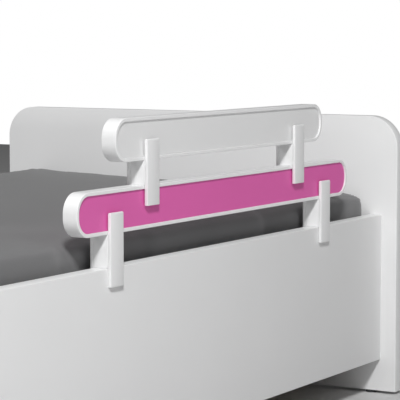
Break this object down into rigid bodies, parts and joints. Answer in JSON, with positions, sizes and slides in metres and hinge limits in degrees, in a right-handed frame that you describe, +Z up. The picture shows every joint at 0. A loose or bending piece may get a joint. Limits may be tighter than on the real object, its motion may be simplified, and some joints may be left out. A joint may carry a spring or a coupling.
{
  "type": "toddler bed",
  "caption": "Low panelled toddler bed with mattress, fitted sheet and a two-tier guard rail whose clips straddle the side panel and can be lifted off.",
  "frame": {"origin": "on the floor, under the middle of the bed", "axes": "+Z up, +X along the bed towards the head end, -Y towards the side that carries the guard rails"},
  "size_m": [1.456, 0.816, 0.507],
  "materials": {
    "white_lacquered_board": "satin",
    "white_lacquered_wood": "satin",
    "magenta_insert": "satin",
    "white_insert": "satin",
    "plywood": "matte",
    "pine": "satin",
    "beech": "matte",
    "mattress_cover": "matte",
    "grey_jersey": "matte",
    "webbing": "matte",
    "white_plastic": "satin",
    "dark_plastic": "matte",
    "zinc": "satin",
    "steel": "satin"
  },
  "bodies": {
    "bed": {"head_panel": "white_lacquered_board", "foot_panel": "white_lacquered_board", "front_side_panel": "white_lacquered_board", "rear_side_panel": "white_lacquered_board", "front_cleat": "pine", "rear_cleat": "pine", "front_slat_tape": "webbing", "rear_slat_tape": "webbing", "cleat_screws": "steel", "slat_screws": "steel", "cam_locks": "zinc", "cam_bolts": "steel", "cam_caps": "white_plastic", "frame_dowels": "beech", "floor_glides": "dark_plastic", "slat_01": "pine", "slat_02": "pine", "slat_03": "pine", "slat_04": "pine", "slat_05": "pine", "slat_06": "pine", "slat_07": "pine", "slat_08": "pine", "slat_09": "pine", "slat_10": "pine", "slat_11": "pine", "slat_12": "pine"},
    "mattress": {"mattress_core": "mattress_cover", "fitted_sheet": "grey_jersey"},
    "lower_rail": {"lower_rail_band": "white_lacquered_wood", "lower_rail_core": "plywood", "lower_rail_front_insert": "magenta_insert", "lower_rail_back_insert": "magenta_insert"},
    "lower_left_clip": {"lower_left_clip_front_leg": "white_lacquered_wood", "lower_left_clip_back_leg": "white_lacquered_wood", "lower_left_clip_spacer": "white_lacquered_wood", "lower_left_clip_pins": "beech", "lower_left_clip_screws": "steel"},
    "lower_right_clip": {"lower_right_clip_front_leg": "white_lacquered_wood", "lower_right_clip_back_leg": "white_lacquered_wood", "lower_right_clip_spacer": "white_lacquered_wood", "lower_right_clip_pins": "beech", "lower_right_clip_screws": "steel"},
    "upper_rail": {"upper_rail_band": "white_lacquered_wood", "upper_rail_core": "plywood", "upper_rail_front_insert": "white_insert", "upper_rail_back_insert": "white_insert"},
    "upper_left_clip": {"upper_left_clip_front_leg": "white_lacquered_wood", "upper_left_clip_back_leg": "white_lacquered_wood", "upper_left_clip_spacer": "white_lacquered_wood", "upper_left_clip_pins": "beech", "upper_left_clip_screws": "steel"},
    "upper_right_clip": {"upper_right_clip_front_leg": "white_lacquered_wood", "upper_right_clip_back_leg": "white_lacquered_wood", "upper_right_clip_spacer": "white_lacquered_wood", "upper_right_clip_pins": "beech", "upper_right_clip_screws": "steel"}
  },
  "joints": [
    {"name": "mattress_lift", "type": "slide", "parent": "bed", "child": "mattress", "axis": [0, 0, 1], "range_m": [0, 0.25]},
    {"name": "lower_rail_lift", "type": "slide", "parent": "bed", "child": "lower_rail", "axis": [0, 0, 1], "range_m": [0, 0.15]},
    {"name": "upper_rail_lift", "type": "slide", "parent": "lower_rail", "child": "upper_rail", "axis": [0, 0, 1], "range_m": [0, 0.1]},
    {"name": "lower_left_clip_slide", "type": "slide", "parent": "lower_rail", "child": "lower_left_clip", "axis": [1, 0, 0], "range_m": [-0.04, 0.1]},
    {"name": "lower_right_clip_slide", "type": "slide", "parent": "lower_rail", "child": "lower_right_clip", "axis": [1, 0, 0], "range_m": [-0.1, 0.04]},
    {"name": "upper_left_clip_slide", "type": "slide", "parent": "upper_rail", "child": "upper_left_clip", "axis": [1, 0, 0], "range_m": [-0.04, 0.1]},
    {"name": "upper_right_clip_slide", "type": "slide", "parent": "upper_rail", "child": "upper_right_clip", "axis": [1, 0, 0], "range_m": [-0.1, 0.04]}
  ]
}
